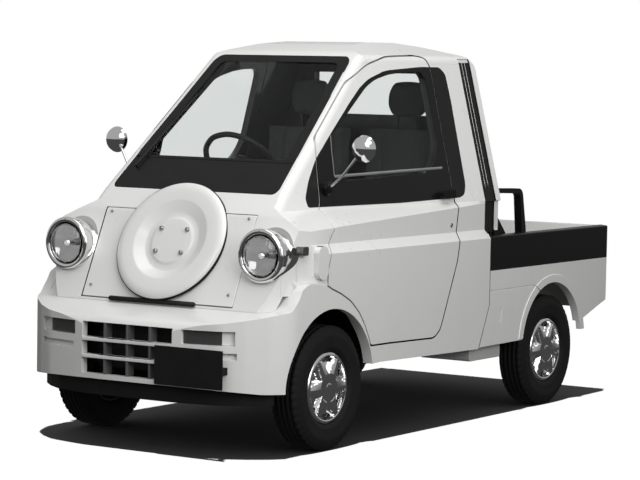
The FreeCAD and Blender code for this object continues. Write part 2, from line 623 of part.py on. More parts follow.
RAIL = [(BED_IN, "band_bottom"), ("body_width / 2", "band_bottom"), ("body_width / 2", "bed_top - 4", 6),
        (f"{BED_IN} - 8", "bed_top", 6), (f"{BED_IN} - 8", "bed_top - 22"), (BED_IN, "bed_top - 22")]
rail = prism("bed_rail", "XZ", RAIL, "bed_front + 2", TAIL)
HOOP_FRONT = "cab_back + back_bulge + 4"
hoop_ring = [(HOOP_FRONT, "bed_top - 10"), (HOOP_FRONT, 1014, 40), (1600, 1006, 40),
             (1642, "bed_top - 10")]
hoop_void = [(f"{HOOP_FRONT} + 28", 700), (f"{HOOP_FRONT} + 28", 992, 22), (1580, 984, 22), (1612, 700)]
hoop = cut("hoop", prism("hoop_block", "YZ", hoop_ring, f"{HALF} - 81", f"{HALF} - 45"),
           prism("hoop_gap", "YZ", hoop_void, f"{HALF} - 97", f"{HALF} - 27"))
foot = box("hoop_foot", (f"{HALF} - 81", f"{HALF} - 27"), (1590, 1660), ("bed_top - 22", "bed_top - 6"))
foot_front = box("hoop_foot_front", (f"{HALF} - 81", f"{HALF} - 27"), (1330, 1400),
                 ("bed_top - 22", "bed_top - 6"))
gusset = prism("gusset", "YZ", [(HOOP_FRONT, "bed_top - 10"), (1480, "bed_top - 10"),
                                (f"{HOOP_FRONT} + 20", 915)], f"{HALF} - 69", f"{HALF} - 57")
left_rail = fuse("left_rail", rail, hoop, gusset, foot, foot_front)
bar = box("guard_bar", BENCH, (HOOP_FRONT, f"{HOOP_FRONT} + 28"), (980, 1012))
header = box("bed_head", (f"-({BED_IN})", BED_IN), ("bed_front + 2", "bed_front + 30"),
             ("bed_floor", "bed_top - 4"))
node("bed_rails", fuse("rails", left_rail, mirrored("right_rail", left_rail), bar, header))
deck = box("deck", (f"-({BED_IN})", BED_IN), ("bed_front + 2", f"{TAIL} - bed_wall - 6"),
           ("bed_floor - bed_plate", "bed_floor"))
sills = [box(f"cross_sill_{n}", BENCH, (y, f"{y} + 50"), ("rail_high", "bed_floor - bed_plate + 1"))
         for n, y in enumerate((1290, 1490, "wheelbase + 320", "wheelbase + 440"))]
apron = box("apron", (f"-({BED_IN})", BED_IN), (f"{TAIL} - bed_wall", f"{TAIL} - 4"),
            (430, "gate_pivot - 12"))
lamp_bays = [box(f"lamp_bay_{n}", (x, x + 92), (f"{TAIL} - 16", f"{TAIL} + 10"), (462, 552))
             for n, x in enumerate((490, -582))]
barrels = [rod(f"gate_barrel_{n}", "12 - seat_gap", x, f"{TAIL} - 9", "gate_pivot", 60, "X")
           for n, x in enumerate((-430, -30, 370))]
barrel_feet = [box(f"barrel_foot_{n}", (x, x + 60), (f"{TAIL} - 19", f"{TAIL} - 4"),
                   ("gate_pivot - 30", "gate_pivot")) for n, x in enumerate((-430, -30, 370))]
webs = [box(f"apron_web_{n}", (x, x + 12), (f"{TAIL} - 60", f"{TAIL} - bed_wall + 1"),
            (440, "bed_floor - bed_plate + 1")) for n, x in enumerate((-560, 548))]
apron_set = cut("apron_cut", fuse("apron_hinged", apron, *barrels, *barrel_feet), *lamp_bays)
node("bed_floor", fuse("deck_and_sills", deck, *sills, *webs, apron_set))
rear_lenses = [box(f"rear_lens_{n}", (x, x + 91.4), (f"{TAIL} - 15.7", f"{TAIL}"), (462.3, 551.7))
               for n, x in enumerate((490.3, -581.7))]
side_block = prism("side_lamp_block", "YZ", [
    (-238, 800, 8), (-196, 800, 8), (-196, 836, 8), (-238, 836, 8)], f"{HALF} - 77", f"{HALF} - 11")
side_lamp = cut("side_lamp", side_block, outer)
node("signal_lamps", group("lens_set", lens, mirrored("lens_mirror", lens), *rear_lenses, side_lamp,
                           mirrored("side_lamp_mirror", side_lamp)))
GATE_IN = f"{BED_IN} - 8 - tailgate_gap"
gate = box("gate_panel", (f"-({GATE_IN})", GATE_IN), (f"{TAIL} - bed_wall + 3", TAIL),
           ("gate_pivot + 12", "bed_top - 3"))
node("tailgate", gate)
plates = [box("front_plate", (146, 476), ("-front_overhang - 8", "-front_overhang - 5"), (287, 441)),
          box("rear_plate", (-165, 165), (f"{TAIL} - 4", f"{TAIL} - 1"), (398, 563))]
brackets = [box(f"plate_bracket_{n}", (x, x + 24), ("-front_overhang - 5", -480), (340, 370))
            for n, x in enumerate((290, 430))]
front_plate = cut("front_plate_set", fuse("front_plate_on", plates[0], *brackets), bumper_skin)
node("number_plates", group("plate_pair", front_plate, plates[1]))

# ---- Mirrors ----
MIRROR_AT = (f"{HALF} - 6", 190, 1213)
stalk = stick("mirror_stalk", 5, (SIDE - 145, 145, 1050), (SIDE - 92, 160, 1100), (SIDE - 15, 186, 1206))
foot_pad = lathe("mirror_foot", [(0, -20), (33, -20), (31, 10), (20, 16), (0, 17)],
                 f"{HALF} - 155", 145, 1050, ((0, 1, 0), 90))
head = lathe("mirror_head", [(0, -6), (50, -6), (56, 2), (50, 16), (30, 28), (0, 33)],
             *MIRROR_AT, FORWARD)
mirror = fuse("mirror_set", head, stalk, cut("mirror_foot_shape", foot_pad, outer))
door_trim = fuse("door_trim", surround, mirror)
node("door_trim_left", door_trim)
node("door_trim_right", mirrored("door_trim_mirror", door_trim))

# ---- Frame and running gear ----
RAIL_IN = "rail_offset - rail_width / 2"
RAIL_OUT = "rail_offset + rail_width / 2"
rails = [box("rail_left", (RAIL_IN, RAIL_OUT), (-420, f"{TAIL} - bed_wall"), ("rail_low", "rail_high")),
         box("rail_right", (f"-({RAIL_OUT})", f"-({RAIL_IN})"), (-420, f"{TAIL} - bed_wall"),
             ("rail_low", "rail_high"))]
cross = [box(f"cross_{n}", (f"-({RAIL_IN}) - 1", f"{RAIL_IN} + 1"), (y, f"{y} + 60"), (340, 420))
         for n, y in enumerate((-415, 280, 1130, f"{TAIL} - 110"))]
outriggers = [box(f"outrigger_{n}", (x0, x1), (y, y + 60), (350, "rail_high"))
              for n, (x0, x1, y) in enumerate(((290, CAB_IN[1], 420), (290, CAB_IN[1], 1130),
                                               (CAB_IN[0], -290, 420), (CAB_IN[0], -290, 1130)))]
radiator = box("radiator", (-222, 222), (-445, -405), (318, 512))
node("frame_rails", fuse("ladder", *rails, *cross, *outriggers, radiator))
tow_eyes = [cut(f"tow_eye_{n}", rod(f"tow_lug_{n}", 34, 262, y, 295.7, 16, "X"),
                rod(f"tow_hole_{n}", 15, 260, y, 295.7, 20, "X"))
            for n, y in enumerate((-385, "wheelbase + 448"))]
node("tow_eyes", group("eye_pair", *tow_eyes))
REAR = SIZES["wheelbase"]
silencer = lathe("silencer", [(0, 0), (46, 0), (50, 10), (50, 250), (46, 260), (0, 260)],
                 -150, "wheelbase + 385", 285, FORWARD)
pipe = stick("exhaust_pipe", 16, (-150, 1076.3, 290), (-150, REAR - 280, 312), (-150, REAR + 60, 312),
             (-150, REAR + 140, 290))
tail_pipe = stick("tail_pipe", 16, (-150, REAR + 370, 280), (-150, REAR + 480, 262))
node("exhaust", fuse("exhaust_set", silencer, pipe, tail_pipe))
node("engine", box("engine_block", (-190, 190), (560, 1060), (235, 430)))
node("fuel_tank", prism("tank", "YZ", [(1150, 256, 12), (1425, 256, 12), (1425, 349.7), (1150, 349.7)],
                        340, 590))
spindle = [rod(f"rear_spindle_{n}", 13, x, "wheelbase", "tyre_radius", 100, "X")
           for n, x in enumerate(("track / 2 - 70", "-(track / 2) - 30"))]
tube = rod("axle_tube", 32, "69 - track / 2", "wheelbase", "tyre_radius", "track - 138", "X")
pumpkin = lathe("differential", [(0, -70), (60, -60), (80, -20), (80, 20), (60, 60), (0, 70)],
                0, "wheelbase", "tyre_radius", ((0, 1, 0), 90))
shaft = rod("drive_shaft", 22, 0, 1062, "tyre_radius + 45", "wheelbase - 1110", "Y")
SPRING = [("wheelbase - 400", 318), ("wheelbase - 190", 297), ("wheelbase - 30", 284),
          ("wheelbase + 30", 284), ("wheelbase + 190", 297), ("wheelbase + 400", 318),
          ("wheelbase + 400", 330), ("wheelbase + 370", 330), ("wheelbase + 170", 308),
          ("wheelbase", 300), ("wheelbase - 170", 308), ("wheelbase - 370", 330),
          ("wheelbase - 400", 330)]
spring = prism("leaf_spring", "YZ", SPRING, 245, 295)
node("rear_axle", fuse("axle", tube, pumpkin, shaft, *spindle, spring, mirrored("spring_mirror", spring)))
arm = fuse("front_arm", box("arm", (280, 446), (-30, 30), (166, 186)),
           box("arm_hanger", (280, 310), (-30, 30), (180, 301)))
strut = fuse("strut", rod("strut_tube", 24, 440, 0, 336, 200), rod("strut_rod", 10, 440, 0, 500, 179.7))
beam = box("front_beam", (-310, 310), (-50, 50), (300, 330))
front_axle = fuse("front_carrier", beam, arm, mirrored("front_arm_right", arm))
node("front_suspension", group("front_set", front_axle, strut, mirrored("strut_right", strut)))
upright = fuse("upright", box("upright_block", (424, 452), (-34, 34), (186.3, 335.7)),
               rod("front_spindle", 13, 440, 0, "tyre_radius", "track / 2 - 410", "X"))
node("knuckle_left", upright)
node("knuckle_right", mirrored("upright_mirror", upright))

RIM = [
    ("13 + seat_gap", -20), ("13 + seat_gap", 40), (0, 40), (0, 60), (28, 58), (36, 50),
    ("rim_radius - 51", 56), ("rim_radius - 26", 47), ("rim_radius", "rim_width / 2"),
    ("rim_radius", "-rim_width / 2"),
    ("rim_radius - 12", 30), (50, 20), (50, -20)]
TYRE_HALF = [("tyre_radius", "tyre_width / 2 - 18"), (214, "tyre_width / 2"),
             ("rim_radius", "rim_width / 2")]
TYRE = TYRE_HALF + [(radius, f"-({height})") for radius, height in reversed(TYRE_HALF)]
VENT = [("rim_radius - 62", -14), ("rim_radius - 22", -26), ("rim_radius - 18", 0),
        ("rim_radius - 22", 26), ("rim_radius - 62", 14)]
OUTWARD = {"left": ((0, 1, 0), 90), "right": ((0, 1, 0), -90)}
for end, y in (("front", 0), ("rear", "wheelbase")):
    for side_name, sign in (("left", ""), ("right", "-")):
        spot = (f"{sign}(track / 2)", y, "tyre_radius", OUTWARD[side_name])
        node(f"wheel_{end}_{side_name}", vented(lathe(f"rim_{end}_{side_name}", RIM, *spot), VENT, 6))
        node(f"tyre_{end}_{side_name}", lathe(f"tyre_turn_{end}_{side_name}", TYRE, *spot))

# ---- Check and write ----
doc.recompute()
for item in doc.Objects:
    if "Invalid" in item.State or "Error" in item.State:
        raise RuntimeError(f"{item.Name} failed: {item.State}")
os.makedirs("parts", exist_ok=True)
for name, item in nodes:
    shape = item.Shape
    if shape.isNull() or not shape.isValid() or not shape.Solids:
        raise RuntimeError(f"{name} has no valid shape")
    shape.exportStep(f"parts/{name}.step")
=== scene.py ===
import math

import bmesh
import bpy
from mathutils import Matrix, Vector


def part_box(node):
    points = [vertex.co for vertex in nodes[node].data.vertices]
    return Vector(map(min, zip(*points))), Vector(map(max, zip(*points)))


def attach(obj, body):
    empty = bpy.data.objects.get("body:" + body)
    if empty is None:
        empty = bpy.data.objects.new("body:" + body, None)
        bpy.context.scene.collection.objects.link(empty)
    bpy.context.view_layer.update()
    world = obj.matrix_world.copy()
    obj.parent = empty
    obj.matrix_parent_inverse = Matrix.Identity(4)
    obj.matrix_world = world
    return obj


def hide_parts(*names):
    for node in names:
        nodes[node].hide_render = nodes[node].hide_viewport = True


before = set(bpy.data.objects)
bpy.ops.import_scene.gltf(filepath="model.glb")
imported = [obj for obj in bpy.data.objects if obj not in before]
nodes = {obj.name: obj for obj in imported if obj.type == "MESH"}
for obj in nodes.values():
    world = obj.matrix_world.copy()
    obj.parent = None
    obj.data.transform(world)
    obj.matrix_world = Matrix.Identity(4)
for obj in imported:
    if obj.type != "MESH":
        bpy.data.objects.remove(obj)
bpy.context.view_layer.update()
scene = bpy.context.scene


# ---- Painted body panels ----
# Pressed steel panels, phosphate-dipped, primed and sprayed with a pale solid colour under clear
# lacquer. Their folded edges are rolled to a few millimetres, so no edge is knife-sharp.
class Value:
    """A shader socket that arithmetic can be written on."""

    def __init__(self, tree, socket):
        self.tree = tree
        self.socket = socket

    def math(self, operation, *values, clamp=False):
        step = self.tree.nodes.new("ShaderNodeMath")
        step.operation = operation
        step.use_clamp = clamp
        for slot, value in zip(step.inputs, values):
            if isinstance(value, Value):
                self.tree.links.new(value.socket, slot)
            else:
                slot.default_value = value
        return Value(self.tree, step.outputs[0])

    def __add__(self, other):
        return self.math("ADD", self, other)

    __radd__ = __add__

    def __mul__(self, other):
        return self.math("MULTIPLY", self, other)

    __rmul__ = __mul__

    def __sub__(self, other):
        return self.math("SUBTRACT", self, other)

    def __rsub__(self, other):
        return self.math("SUBTRACT", other, self)

    def __pow__(self, other):
        return self.math("POWER", self, other)

    def __abs__(self):
        return self.math("ABSOLUTE", self)

    def above(self, low, high):
        """0 below low, 1 above high, straight between them."""
        return self.math("MULTIPLY", self - low, 1 / (high - low), clamp=True)


class Finish:
    """One material: a Principled shader with nodes added by name."""

    def __init__(self, name, **uniform):
        self.material = bpy.data.materials.new(name)
        self.material.use_nodes = True
        self.tree = self.material.node_tree
        self.shader = self.tree.nodes["Principled BSDF"]
        for socket, value in uniform.items():
            self.shader.inputs[socket.replace("_", " ")].default_value = value

    def node(self, kind, inputs=None, output=0, **settings):
        made = self.tree.nodes.new(kind)
        for name, value in settings.items():
            setattr(made, name, value)
        for name, value in (inputs or {}).items():
            if isinstance(value, Value):
                self.tree.links.new(value.socket, made.inputs[name])
            else:
                made.inputs[name].default_value = value
        return Value(self.tree, made.outputs[output])

    def place(self):
        """Where a point is, in metres in the truck's frame."""
        return self.node("ShaderNodeTexCoord", output="Object")

    def axis(self, name):
        """One coordinate of a point, in metres in the truck's frame."""
        return self.node("ShaderNodeSeparateXYZ", {"Vector": self.place()}, output=name)

    def inside_shade_mask(self):
        """1 on faces that look in towards the middle of the cab, where the paint turns near-black as painted
        shade.
        """
        away = self.node("ShaderNodeVectorMath", {0: self.place(), 1: CAB_MIDDLE}, operation="SUBTRACT")
        facing = self.node("ShaderNodeNewGeometry", output="True Normal")
        along = self.node("ShaderNodeVectorMath", {0: away, 1: facing}, output="Value",
                          operation="DOT_PRODUCT")
        return 1 - along.above(-0.012, -0.01)

    def noise(self, scale, detail=3):
        return self.node("ShaderNodeTexNoise", {"Vector": self.place(), "Scale": scale, "Detail": detail,
                                                "Roughness": NOISE_ROUGHNESS})

    def blend(self, share, first, second):
        """A colour between two, by a mask."""
        made = self.tree.nodes.new("ShaderNodeMix")
        made.data_type = "RGBA"
        for slot, value in zip((made.inputs[0], made.inputs[6], made.inputs[7]), (share, first, second)):
            if isinstance(value, Value):
                self.tree.links.new(value.socket, slot)
            elif isinstance(value, tuple):
                slot.default_value = (*value, 1)
            else:
                slot.default_value = value
        return Value(self.tree, made.outputs[2])

    def bump(self, height, strength, distance):
        return self.node("ShaderNodeBump", {"Height": height, "Strength": strength, "Distance": distance})

    def within(self, lamp):
        """1 inside a lamp's round outline, seen from the front, on either side of the truck."""
        across = abs(self.axis("X")) - lamp["x"] / 1000
        height = self.axis("Z") - lamp["z"] / 1000
        reach = (across * across + height * height) ** 0.5
        edge = lamp["radius"] / 1000
        return 1 - reach.above(edge, edge + 0.0005)

    def feed(self, **links):
        for name, value in links.items():
            self.tree.links.new(value.socket, self.shader.inputs[name.replace("_", " ")])
        return self


PALE = (0.72, 0.72, 0.705)
INSIDE_SHADE = (0.005, 0.005, 0.005)
CAB_MIDDLE = (0, -0.4, 1.12)
NOISE_ROUGHNESS = 0.55
COINCIDENT = 0.00002


def paint(name, colour, plated=None, cab=False):
    """Solid colour under lacquer, with faint orange peel; darker and rougher in noisy patches towards the
    bottom.
    """
    finish = Finish(name, Coat_Weight=0.35, Coat_Roughness=0.06, Specular_IOR_Level=0.4)
    height = finish.axis("Z")
    # Below about 0.75 m the colour darkens in noisy patches, and the roughness rises there too.
    low = (1 - height.above(0.25, 0.75)) * finish.noise(6).above(0.3, 0.8)
    darker_low = tuple(part * 0.82 for part in colour)
    shade = finish.blend(low * 0.4, colour, darker_low)
    peel = finish.bump(finish.noise(420, detail=1), 0.02, 0.0006)
    rough = 0.26 + 0.04 * finish.noise(9) + 0.15 * low
    # Faces inside the cab turn near-black and rougher: painted shade inside the cab.
    if cab:
        inside = finish.inside_shade_mask()
        shade = finish.blend(inside, shade, INSIDE_SHADE)
        rough = rough + 0.4 * inside
    if plated:
        bright = finish.within(plated)
        shade = finish.blend(bright, shade, CHROME)
        rough = rough * (1 - bright) + 0.07 * bright
        finish.feed(Metallic=bright)
    return finish.feed(Base_Color=shade, Roughness=rough, Normal=peel).material


def dress(name, material, edge=0.002, angle=28, flat=False):
    """Give a CAD node its material and roll its edges over, with its shape unchanged."""
    item = nodes[name]
    item.data.materials.clear()
    item.data.materials.append(material)
    for polygon in item.data.polygons:
        polygon.use_smooth = not flat
    item.modifiers.new("weld", "WELD").merge_threshold = COINCIDENT
    if flat:
        return item
    merge = item.modifiers.new("merge", "DECIMATE")
    merge.decimate_type = "DISSOLVE"
    merge.angle_limit = math.radians(0.6)
    if edge:
        bevel = item.modifiers.new("edge", "BEVEL")
        bevel.width = edge
        bevel.segments = 2
        bevel.limit_method = "ANGLE"
        bevel.angle_limit = math.radians(angle)
    item.modifiers.new("normals", "WEIGHTED_NORMAL").keep_sharp = True
    return item


AXLE_Y = sum(corner[1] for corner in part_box("tyre_front_left")) / 2


def spot(x, y, z):
    """Millimetres from the ground under the front axle's middle, as metres in the frame."""
    return Vector((x / 1000, AXLE_Y + y / 1000, z / 1000))


body_paint = paint("pale_body_paint", PALE)
for name in ("bed_panels", "bed_floor", "tailgate"):
    dress(name, body_paint, edge=0.003, angle=12)
# The cab panels' inner faces are painted near-black: painted shade inside the cab.
cab_paint = paint("cab_paint", PALE, cab=True)
for name in ("cab_roof", "cab_back", "cab_sides", "door_left", "door_right"):
    dress(name, cab_paint, angle=12)
dress("front_bumper", body_paint, edge=0.006, angle=20)
dress("front_lid", body_paint, edge=0.004)

# ---- Nose and headlamp buckets ----
# The nose is a steel pressing, and each lamp sits in a drawn steel bucket that is welded to it and
# chromium plated in front of the joint.
LAMP = {"x": 487, "y": -318, "z": 798, "radius": 107.5}
CHROME = (0.75, 0.75, 0.75)
# The nose's inner faces are painted near-black too: painted shade inside the cab.
dress("cab_nose", paint("nose_paint", PALE, plated=LAMP, cab=True))


def plastic(name, colour, rough, grain):
    finish = Finish(name, Specular_IOR_Level=0.16)
    fine = finish.noise(1400, detail=2)
    shade = finish.blend(finish.noise(14), colour, tuple(part * 1.5 + 0.002 for part in colour))
    return finish.feed(Base_Color=shade, Roughness=rough + 0.12 * finish.noise(30),
                       Normal=finish.bump(fine, grain, 0.0004)).material


# ---- Small turned and bent metalwork ----
# Screws, rims and rods are turned, rolled or drawn from bar, then plated or painted.
def finished(name, body, material, mesh, at=None, smooth=True):
    """A new piece on a body, with its mesh in millimetres unless it is placed by a matrix."""
    item = bpy.data.objects.new(name, mesh)
    scene.collection.objects.link(item)
    mesh.materials.append(material)
    for polygon in mesh.polygons:
        polygon.use_smooth = smooth
    item.matrix_world = at if at is not None else Matrix()
    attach(item, body)
    return item


def stand(where, outward, scale=0.001):
    """A matrix that puts millimetres at a place, with their Z pointing outward."""
    turn = Vector(outward).to_track_quat("Z", "Y").to_matrix().to_4x4()
    return Matrix.Translation(where) @ turn @ Matrix.Scale(scale, 4)


def turned(outline, steps=64, shift=None, lift=None):
    """A closed outline of (radius, height) turned about Z; shift and lift move a point by its step."""
    shape = bmesh.new()
    rings = []
    for step in range(steps):
        angle = math.tau * step / steps
        ring = []
        for radius, height in outline:
            reach = radius + (shift(step, radius, height) if shift else 0)
            rise = height + (lift(step, radius, height) if lift else 0)
            ring.append(shape.verts.new((reach * math.cos(angle), reach * math.sin(angle), rise)))
        rings.append(ring)
    count = len(outline)
    for step in range(steps):
        here, there = rings[step], rings[(step + 1) % steps]
        for index in range(count):
            follow = (index + 1) % count
            shape.faces.new((here[index], there[index], there[follow], here[follow]))
    bmesh.ops.remove_doubles(shape, verts=shape.verts, dist=0.002)
    bmesh.ops.recalc_face_normals(shape, faces=shape.faces)
    return shape


def stamped(shape, *matrices):
    """One mesh in metres, with a copy of the shape at each matrix."""
    base = bpy.data.meshes.new("shape")
    shape.to_mesh(base)
    shape.free()
    whole = bmesh.new()
    for matrix in matrices:
        fresh = bmesh.new()
        fresh.from_mesh(base)
        fresh.transform(matrix)
        if matrix.determinant() < 0:
            bmesh.ops.reverse_faces(fresh, faces=fresh.faces)
        copy = bpy.data.meshes.new("copy")
        fresh.to_mesh(copy)
        fresh.free()
        whole.from_mesh(copy)
        bpy.data.meshes.remove(copy)
    bpy.data.meshes.remove(base)
    mesh = bpy.data.meshes.new("stamped")
    whole.to_mesh(mesh)
    whole.free()
    return mesh


def lofted(shape, rows):
    """A closed skin through rows of places, added to the shape."""
    rows = [[shape.verts.new(place) for place in row] for row in rows]
    for here, there in zip(rows, rows[1:]):
        for index in range(len(here)):
            follow = (index + 1) % len(here)
            shape.faces.new((here[index], here[follow], there[follow], there[index]))
    shape.faces.new(rows[0][::-1])
    shape.faces.new(rows[-1])
    bmesh.ops.recalc_face_normals(shape, faces=shape.faces)
    return shape


def both(matrix):
    """The matrix and its mirror image across the truck."""
    flip = Matrix.Diagonal((-1, 1, 1, 1))
    return matrix, flip @ matrix


def wire(name, body, material, radius, *runs, loop=False):
    """Round bar through the places of each run."""
    curve = bpy.data.curves.new(name, "CURVE")
    curve.dimensions = "3D"
    curve.bevel_depth = radius / 1000
    curve.bevel_resolution = 3
    curve.use_fill_caps = True
    for run in runs:
        line = curve.splines.new("POLY")
        line.points.add(len(run) - 1)
        for point, place in zip(line.points, run):
            point.co = (*place, 1)
        line.use_cyclic_u = loop
    item = bpy.data.objects.new(name, curve)
    scene.collection.objects.link(item)
    curve.materials.append(material)
    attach(item, body)
    return item


def plated(name, colour=CHROME):
    finish = Finish(name, Metallic=1.0)
    shade = finish.blend(finish.noise(20), colour, tuple(part * 1.1 for part in colour))
    return finish.feed(Base_Color=shade, Roughness=0.05 + 0.08 * finish.noise(60)).material


chrome = plated("chrome_plate")
steel_screw = plated("zinc_plated_screw", (0.3, 0.3, 0.3))

# ---- Nose infill plates ----
# Folded steel plates welded in the corners between bumper, nose and flare: a shelf under the bumper's
# top, and a cheek beside each lamp bucket.
SHELF = {"profile": [(-372, 575), (-320, 582), (-296, 604), (-273, 632), (-250, 664), (-225, 680),
                     (-200, 686), (-140, 684), (-90, 673)],
         "inner": 440, "middle": 520, "front_edge": 556, "back_edge": 628, "flare": 0.9}
CHEEK = {"heights": (640, 700, 760, 820, 862), "x": 584.1, "y": -254.8, "slope": 0.3208, "bend": -268,
         "back": -190, "foot": 583, "front": -368, "lean": 0.4615, "inset": 7, "foremost": -300}
for side, sign in (("left", 1), ("right", -1)):
    rows = []
    for y, z in SHELF["profile"]:
        edge = min(SHELF["back_edge"], SHELF["front_edge"] + SHELF["flare"] * (y - SHELF["profile"][0][0]))
        rows.append([spot(sign * x, y, z - drop) for x, drop in
                     ((SHELF["inner"], 3), (SHELF["middle"], 2.5), (edge, 3),
                      (edge, 7), (SHELF["middle"], 6.5), (SHELF["inner"], 7))])
    plate = lofted(bmesh.new(), rows)
    rows = []
    for z in CHEEK["heights"]:
        front = max(CHEEK["foremost"], CHEEK["front"] + CHEEK["lean"] * (z - CHEEK["foot"]) + CHEEK["inset"])
        middle = max(front + 5, CHEEK["bend"])
        rows.append([spot(sign * (CHEEK["x"] + CHEEK["slope"] * (y - CHEEK["y"]) - depth), y, z)
                     for y, depth in ((front, 4), (middle, 1.5), (CHEEK["back"], 1.5),
                                      (CHEEK["back"], 5), (middle, 5), (front, 8))])
    lofted(plate, rows)
    infill = finished(f"nose_infill_{side}", "truck", body_paint, stamped(plate, Matrix()), smooth=False)

# ---- Lid screws ----
# Four plated screws hold the front lid to the nose.
SCREW = [(0, 0), (6.5, 0), (6.5, 2), (5, 4), (2.2, 4.8), (2, 3.4), (0, 3.4)]
NOSE_SLOPE = (0, -0.908, 0.419)
lid_screws = finished("lid_screws", "truck", steel_screw, stamped(
    turned(SCREW, 20), *both(stand(spot(345, -344.5, 636), NOSE_SLOPE)),
    *both(stand(spot(345, -208, 932), NOSE_SLOPE))))

# ---- Spare wheel cover ----
# A pressed steel lid over the spare wheel, held by four nuts on the hub, with a rubber welt round
# its rim where it meets the nose.
COVER = {"y": -272, "z": 836, "tilt": 28}
cover_tilt = math.radians(COVER["tilt"])
cover_face = (0, -math.cos(cover_tilt), math.sin(cover_tilt))
cover_stand = stand(spot(0, COVER["y"], COVER["z"]), cover_face)
LID = [(0, -60), (232, -60), (236, -30), (257, -24), (259.5, -16), (259, -11), (256, -6), (248, -0.8),
       (236, 3.2), (222, 4.6), (200, 3.8), (180, 3), (175, 2.2), (170, 0.4), (132, -16.4), (127, -18),
       (118, -18.2), (108, -17.6), (103, -16), (97, -13.2), (91, -12.2), (60, -11.8), (0, -11.6)]


DISH = {"steps": 144, "slope": 0.056, "edge": 172, "back": -40, "wall": 11, "nut_seat": -12.4}


def sloped(step, radius, height):
    """The dish's floor lies along the nose, which slopes more than the lid's rim."""
    if radius > DISH["edge"] or height < DISH["back"] or height >= 0:
        return 0
    floor = DISH["slope"] * radius * math.sin(math.tau * step / DISH["steps"])
    return floor * min(1, -height / DISH["wall"])


lid = finished("spare_wheel_lid", "truck", body_paint,
               stamped(turned(LID, DISH["steps"], lift=sloped), cover_stand))
lid.modifiers.new("normals", "WEIGHTED_NORMAL")
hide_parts("spare_cover")
black_rubber = plastic("black_rubber", (0.01, 0.01, 0.01), 0.55, 0.1)
welt = finished("cover_welt", "truck", black_rubber, stamped(turned(
    [(255, -26), (261.5, -24), (263, -17), (261.5, -11), (259, -11), (257, -18)], 128), cover_stand))
NUT = [(0, 0), (11, 0), (11, 2), (8, 4), (8, 9), (6, 11), (0, 11)]
hub = [cover_stand @ Matrix.Translation((x, y, DISH["slope"] * y + DISH["nut_seat"]))
       for x in (-64, 64) for y in (-50, 50)]
nuts = finished("cover_nuts", "truck", steel_screw, stamped(turned(NUT, 24), *hub))
STRIP = [(-230, -1), (-225, 9), (200, 9), (206, -1), (200, -10), (-223, -10)]
slot_strip = bmesh.new()
fronts = [slot_strip.verts.new((x, y, 9)) for x, y in STRIP]
backs = [slot_strip.verts.new((x, y, 0)) for x, y in STRIP]
slot_strip.faces.new(fronts[::-1])
slot_strip.faces.new(backs)
for index in range(len(STRIP)):
    follow = (index + 1) % len(STRIP)
    slot_strip.faces.new((fronts[index], fronts[follow], backs[follow], backs[index]))
bmesh.ops.bevel(slot_strip, geom=slot_strip.edges[:], offset=1.6, segments=2, affect="EDGES")
bmesh.ops.recalc_face_normals(slot_strip, faces=slot_strip.faces)
lid_pull = finished("lid_pull", "truck", black_rubber, stamped(
    slot_strip, Matrix.Translation(spot(0, -371, 589)) @ Matrix.Rotation(math.radians(65), 4, "X")
    @ Matrix.Scale(0.001, 4)))

# ---- Black trim ----
# Moulded plastic and stove-enamelled steel: the window surrounds, cowl, bed rails, valance and plates.
satin_black = plastic("satin_black_enamel", (0.006, 0.006, 0.006), 0.26, 0.03)
grained_black = plastic("grained_black_plastic", (0.006, 0.006, 0.006), 0.5, 0.25)
for name in ("front_valance", "number_plates", "dashboard"):
    dress(name, grained_black)
for name in ("window_trim", "cowl_panel"):
    dress(name, satin_black, edge=0.001)
grille_finish = Finish("grille_paint", Specular_IOR_Level=0.3)
BARS = {"middle": 0.0053, "inner": 0.1064, "outer": 0.1173, "rungs": (0.371, 0.44), "half": 0.0072}
BLUR = 0.0003
reach = abs(grille_finish.axis("X"))
height = grille_finish.axis("Z")
side_bar = reach.above(BARS["inner"], BARS["inner"] + BLUR) * (
    1 - reach.above(BARS["outer"], BARS["outer"] + BLUR))
behind = 1 - reach.above(BARS["middle"], BARS["middle"] + BLUR) * (1 - side_bar)
for z in BARS["rungs"]:
    rung = height.above(z - BARS["half"] - BLUR, z - BARS["half"]) * (
        1 - height.above(z + BARS["half"], z + BARS["half"] + BLUR))
    behind = behind * (1 - rung)
grille_finish.feed(Base_Color=grille_finish.blend(behind, PALE, (0.1, 0.1, 0.1)),
                   Roughness=0.35 + 0.1 * grille_finish.noise(40),
                   Normal=grille_finish.bump(grille_finish.noise(900, detail=1), 0.05, 0.0004))
dress("grille", grille_finish.material, edge=0.002)

# ---- Bed rails ----
# Folded steel cappings with a tubular guard, stove enamelled black outside. The faces that look into
# the load bed are left in body colour.
rail_finish = Finish("bed_rail_enamel", Specular_IOR_Level=0.15)
reach = abs(rail_finish.axis("X"))
height = rail_finish.axis("Z")
bed_face = reach.above(0.5925, 0.593) * (1 - reach.above(0.6035, 0.604)) * (1 - height.above(0.790, 0.792))
rail_finish.feed(Base_Color=rail_finish.blend(bed_face, (0.005, 0.005, 0.005), PALE),
                 Roughness=0.3 + 0.1 * rail_finish.noise(30),
                 Normal=rail_finish.bump(rail_finish.noise(420, detail=1), 0.03, 0.0005))
dress("bed_rails", rail_finish.material, edge=0.005)

